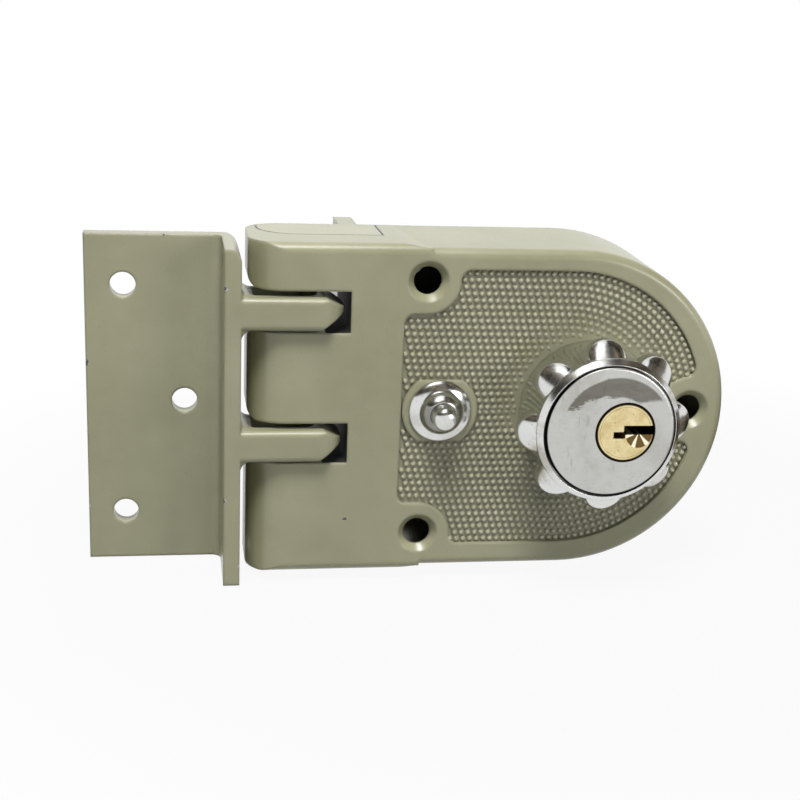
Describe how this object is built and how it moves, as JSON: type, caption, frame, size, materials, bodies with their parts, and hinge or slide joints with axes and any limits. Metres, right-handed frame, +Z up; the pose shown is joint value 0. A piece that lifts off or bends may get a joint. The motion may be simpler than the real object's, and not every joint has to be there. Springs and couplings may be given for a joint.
{
  "type": "surface-mounted interlocking deadlock with strike",
  "caption": "Surface-mounted interlocking deadlock in grey-green enamel: case with door-edge flange, lobed knob carrying a key cylinder, push button, and an angle strike with two eyelets.",
  "frame": {"origin": "centre of the tailpiece bore, on the knob axis in the plane of the door face", "axes": "+X to the round end of the case, away from the strike; +Y into the door, the front faces -Y; +Z up"},
  "size_m": [0.1594, 0.0684, 0.0848],
  "materials": {
    "enamel": "satin",
    "casting": "matte",
    "plated": "polished",
    "face_metal": "brushed",
    "steel": "satin",
    "plug_brass": "satin",
    "bush_brass": "satin"
  },
  "bodies": {
    "case": {"case_cover": "enamel", "back_plate": "casting", "back_screws": "steel", "edge_flange": "casting", "guide_studs": "steel", "knob_bush": "bush_brass", "button_bezel": "plated", "button_nut": "steel", "button_spring": "steel"},
    "knob": {"turn_knob": "plated", "knob_clip": "steel", "drive_hub": "steel", "cylinder_body": "face_metal", "cylinder_screws": "steel", "driver_pins": "steel", "pin_springs": "steel", "pin_cover": "bush_brass"},
    "plug": {"key_plug": "plug_brass", "bottom_pins": "bush_brass"},
    "slide": {"lock_slide": "steel"},
    "carrier": {"bolt_carrier": "steel", "upper_bolt": "steel", "lower_bolt": "steel", "bolt_rivets": "steel"},
    "button": {"button_plunger": "plated", "button_clip": "steel"},
    "strike": {"strike": "enamel"}
  },
  "joints": [
    {"name": "knob_turn", "type": "hinge", "parent": "case", "child": "knob", "pos_m": [0, -0.03, 0], "axis": [0, 1, 0], "range_deg": [0, 90]},
    {"name": "bolt_throw", "type": "slide", "parent": "case", "child": "carrier", "axis": [0, 0, 1], "range_m": [0, 0.014]},
    {"name": "key_turn", "type": "hinge", "parent": "knob", "child": "plug", "pos_m": [0.0036, -0.035, 0], "axis": [0, -1, 0], "range_deg": [0, 90]},
    {"name": "lock_throw", "type": "slide", "parent": "knob", "child": "slide", "axis": [-1, 0, 0], "range_m": [0, 0.002]},
    {"name": "button_push", "type": "slide", "parent": "case", "child": "button", "axis": [0, 1, 0], "range_m": [0, 0.004], "stiffness_N_per_m": 120, "springref_m": -0.002, "deforming": ["button_spring"]},
    {"name": "strike_slide", "type": "slide", "parent": "case", "child": "strike", "axis": [0, 1, 0], "range_m": [0, 0.045]}
  ],
  "couplings": [
    {"joint": "bolt_throw", "follows": "knob_turn", "m_per_rad": 0.0089127},
    {"joint": "lock_throw", "follows": "key_turn", "m_per_rad": 0.0012732}
  ]
}
